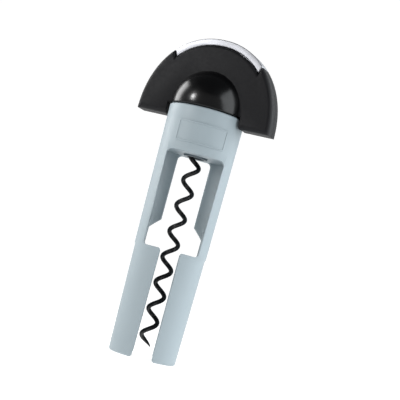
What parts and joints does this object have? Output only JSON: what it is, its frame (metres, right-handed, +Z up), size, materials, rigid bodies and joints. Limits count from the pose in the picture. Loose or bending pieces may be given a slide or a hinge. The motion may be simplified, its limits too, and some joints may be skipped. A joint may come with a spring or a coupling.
{
  "type": "self-pulling corkscrew",
  "caption": "Table corkscrew that pulls by continuous turning: a half-round handle carries a long worm down through a tubular frame whose legs stand on the bottle neck.",
  "frame": {"origin": "on the worm's axis, level with the bottom of the two legs", "axes": "+Z up along the worm's axis from the legs to the handle, -Y to the front, where the badge is, +X to the right seen from the front"},
  "size_m": [0.0722, 0.0399, 0.168],
  "materials": {
    "frame_plastic": "satin moulded ABS, pale blue-grey",
    "bush_plastic": "acetal, satin",
    "washer_plastic": "natural nylon",
    "coated_wire": "low-friction black coating on steel wire",
    "cast_zinc": "as cast",
    "handle_plastic": "black ABS: eroded texture on the arch, polished dome",
    "trim_steel": "satin polished stainless steel",
    "screw_steel": "zinc plated"
  },
  "bodies": {
    "frame": {"body_frame": "frame_plastic", "guide_bush": "bush_plastic"},
    "turning_washer": {"thrust_washer": "washer_plastic"},
    "screw_unit": {"worm": "coated_wire", "drive_block": "cast_zinc", "handle_shell_front": "handle_plastic", "handle_shell_rear": "handle_plastic", "trim_strip": "trim_steel", "shell_screw_top": "screw_steel", "shell_screw_left": "screw_steel", "shell_screw_right": "screw_steel"}
  },
  "joints": [
    {"name": "handle_turn", "type": "hinge", "parent": "frame", "child": "turning_washer", "pos_m": [0, 0, 0.1098], "axis": [0, 0, 1], "continuous": true},
    {"name": "worm_lift", "type": "slide", "parent": "turning_washer", "child": "screw_unit", "axis": [0, 0, 1], "range_m": [0, 0.1]}
  ]
}
